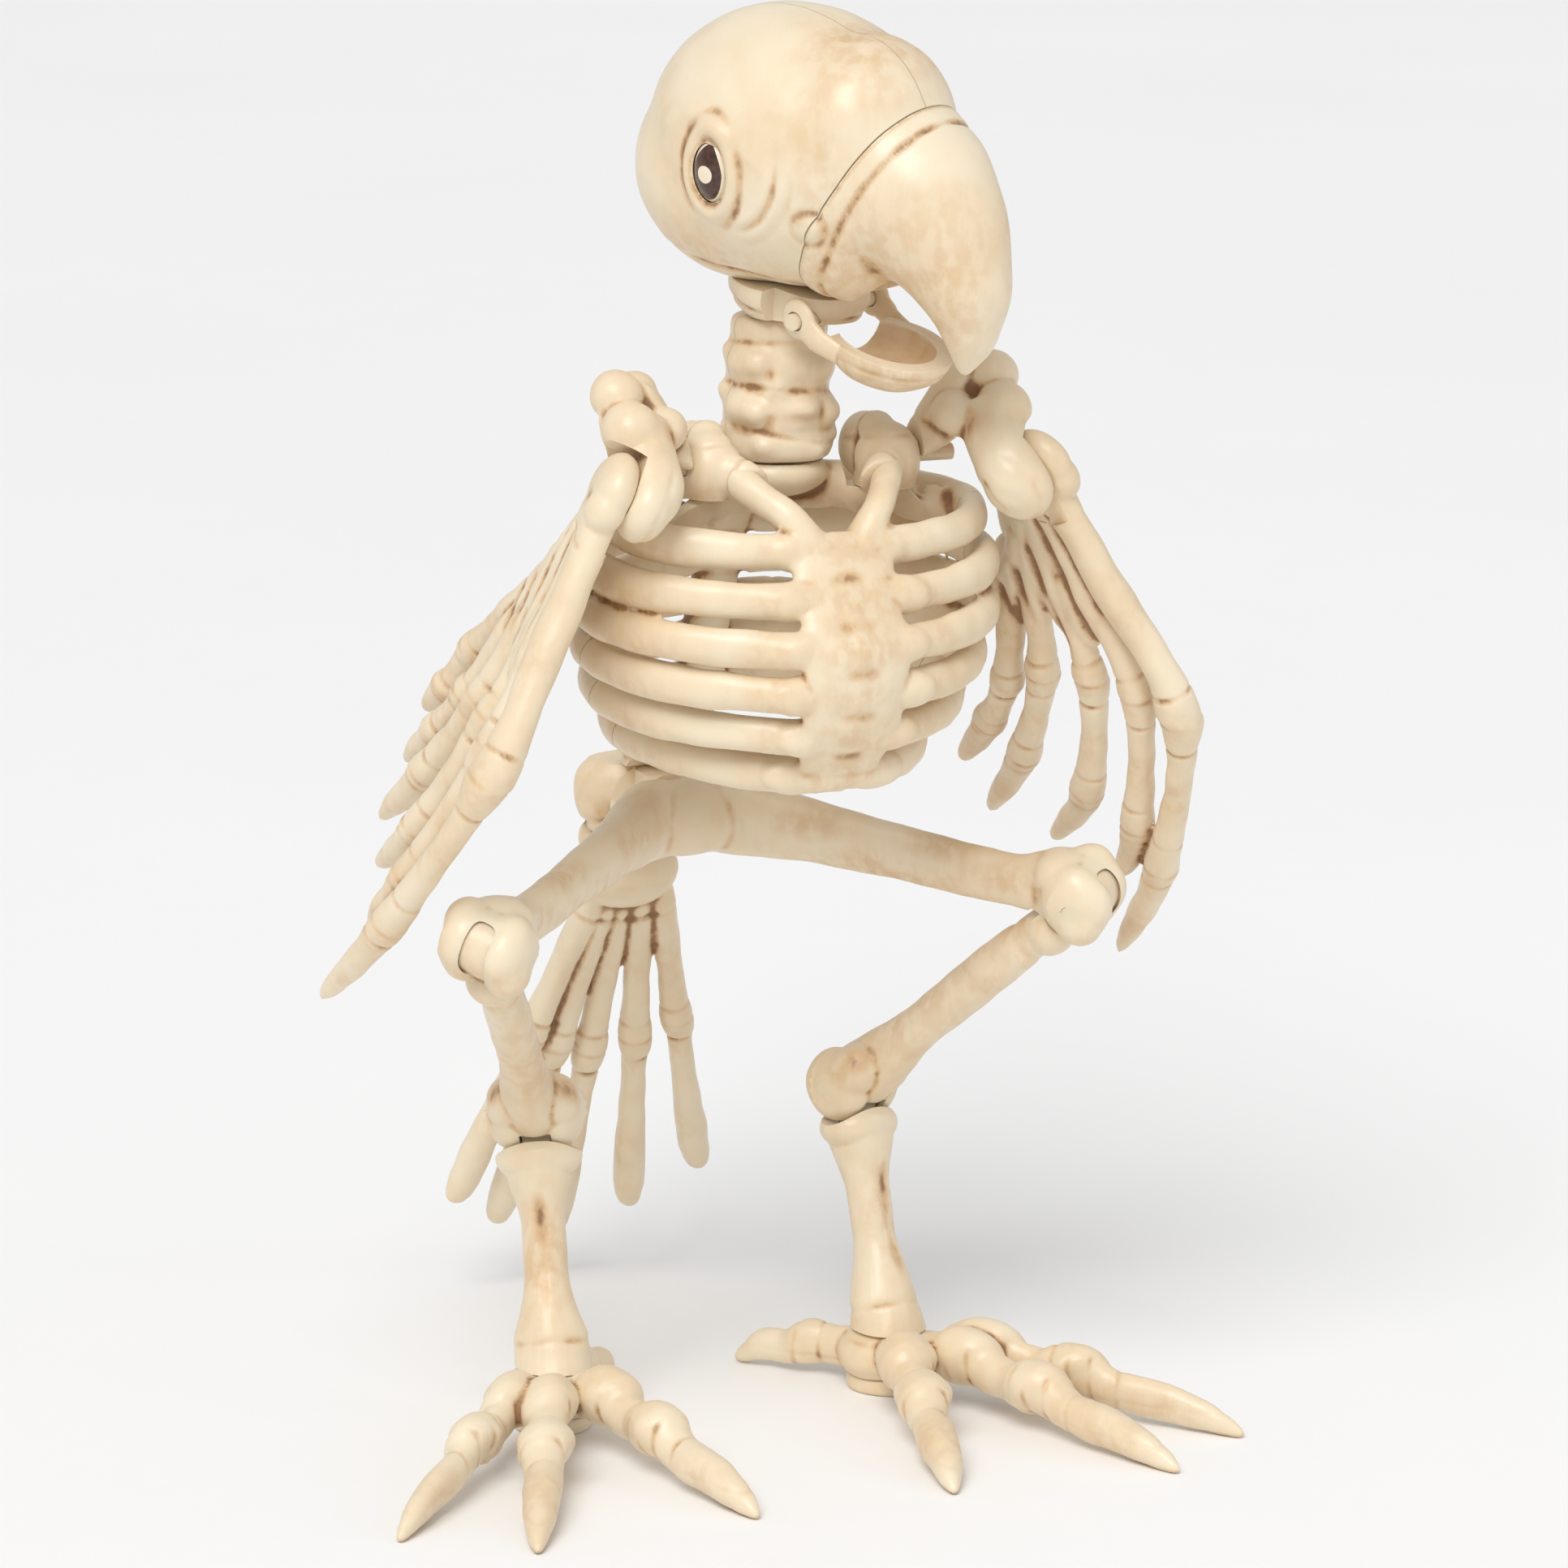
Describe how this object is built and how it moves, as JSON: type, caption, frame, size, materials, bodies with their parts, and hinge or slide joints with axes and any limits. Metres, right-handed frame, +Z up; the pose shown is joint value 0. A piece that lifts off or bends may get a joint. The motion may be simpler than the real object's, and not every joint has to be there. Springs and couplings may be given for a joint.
{
  "type": "halloween skeleton figure",
  "caption": "Posable standing parrot skeleton in aged ivory plastic, with jointed neck, beak, wings and legs and a fanned tail.",
  "frame": {"origin": "centre of the footprint box, on the surface the feet stand on", "axes": "+Z up, the breast faces -Y, +X is the bird's left"},
  "size_m": [0.173, 0.165, 0.2782],
  "materials": {
    "aged_ivory": "soft-gloss cream moulded plastic with a tan and brown antique wash in the creases",
    "eye_paint": "dark brown painted eye with a cream pupil"
  },
  "bodies": {
    "torso": {"ribcage_front": "aged_ivory", "ribcage_back": "aged_ivory", "coracoid_left": "aged_ivory", "coracoid_right": "aged_ivory", "neck_front": "aged_ivory", "neck_back": "aged_ivory", "lumbar_spine": "aged_ivory", "pelvis": "aged_ivory", "tail_fan": "aged_ivory", "hip_pin": "aged_ivory"},
    "head": {"skull_left": "aged_ivory", "skull_right": "aged_ivory", "skull_base": "aged_ivory", "upper_beak": "aged_ivory", "eye_left": "eye_paint", "eye_right": "eye_paint", "jaw_pin": "aged_ivory", "neck_peg": "aged_ivory"},
    "jaw": {"mandible": "aged_ivory"},
    "thighs": {"femur_yoke": "aged_ivory", "knee_pin_left": "aged_ivory", "knee_pin_right": "aged_ivory"},
    "upper_wing_left": {"humerus_left": "aged_ivory", "shoulder_pin_left": "aged_ivory", "elbow_pin_left": "aged_ivory"},
    "wing_left": {"wing_fan_left": "aged_ivory"},
    "shin_left": {"tibia_left": "aged_ivory", "ankle_pin_left": "aged_ivory"},
    "shank_left": {"tarsus_left": "aged_ivory", "foot_upper_left": "aged_ivory", "foot_sole_left": "aged_ivory"},
    "upper_wing_right": {"humerus_right": "aged_ivory", "shoulder_pin_right": "aged_ivory", "elbow_pin_right": "aged_ivory"},
    "wing_right": {"wing_fan_right": "aged_ivory"},
    "shin_right": {"tibia_right": "aged_ivory", "ankle_pin_right": "aged_ivory"},
    "shank_right": {"tarsus_right": "aged_ivory", "foot_upper_right": "aged_ivory", "foot_sole_right": "aged_ivory"}
  },
  "joints": [
    {"name": "neck_turn", "type": "hinge", "parent": "torso", "child": "head", "pos_m": [0, -0.03004, 0.21923], "axis": [0, 0, 1], "range_deg": [-60, 8]},
    {"name": "jaw_hinge", "type": "hinge", "parent": "head", "child": "jaw", "pos_m": [0.00562, -0.04353, 0.22194], "axis": [0.9076, 0.4022, 0.1204], "range_deg": [-6, 5]},
    {"name": "hip_tilt", "type": "hinge", "parent": "torso", "child": "thighs", "pos_m": [0, 0.02176, 0.11423], "axis": [1, 0, 0], "range_deg": [-3, 3]},
    {"name": "shoulder_left", "type": "hinge", "parent": "torso", "child": "upper_wing_left", "pos_m": [0.019, -0.04024, 0.19323], "axis": [1, 0, 0], "range_deg": [-5, 12]},
    {"name": "elbow_left", "type": "hinge", "parent": "upper_wing_left", "child": "wing_left", "pos_m": [0.0425, -0.05424, 0.19223], "axis": [0.8243, 0.3422, 0.451], "range_deg": [-8, 8]},
    {"name": "knee_left", "type": "hinge", "parent": "thighs", "child": "shin_left", "pos_m": [0.06101, -0.04034, 0.10523], "axis": [0.6786, 0.682, 0.2728], "range_deg": [-20, 3]},
    {"name": "ankle_left", "type": "hinge", "parent": "shin_left", "child": "shank_left", "pos_m": [0.03352, 0.00565, 0.05864], "axis": [0.8955, 0.4337, -0.1003], "range_deg": [-12, 12]},
    {"name": "shoulder_right", "type": "hinge", "parent": "torso", "child": "upper_wing_right", "pos_m": [-0.019, -0.04024, 0.19323], "axis": [1, 0, 0], "range_deg": [-5, 12]},
    {"name": "elbow_right", "type": "hinge", "parent": "upper_wing_right", "child": "wing_right", "pos_m": [-0.0425, -0.05424, 0.19223], "axis": [-0.8917, 0.1824, 0.4142], "range_deg": [-8, 8]},
    {"name": "knee_right", "type": "hinge", "parent": "thighs", "child": "shin_right", "pos_m": [-0.06101, -0.04034, 0.10523], "axis": [-0.6786, 0.682, 0.2728], "range_deg": [-3, 20]},
    {"name": "ankle_right", "type": "hinge", "parent": "shin_right", "child": "shank_right", "pos_m": [-0.03352, 0.00565, 0.05864], "axis": [-0.8955, 0.4337, -0.1003], "range_deg": [-12, 12]}
  ]
}
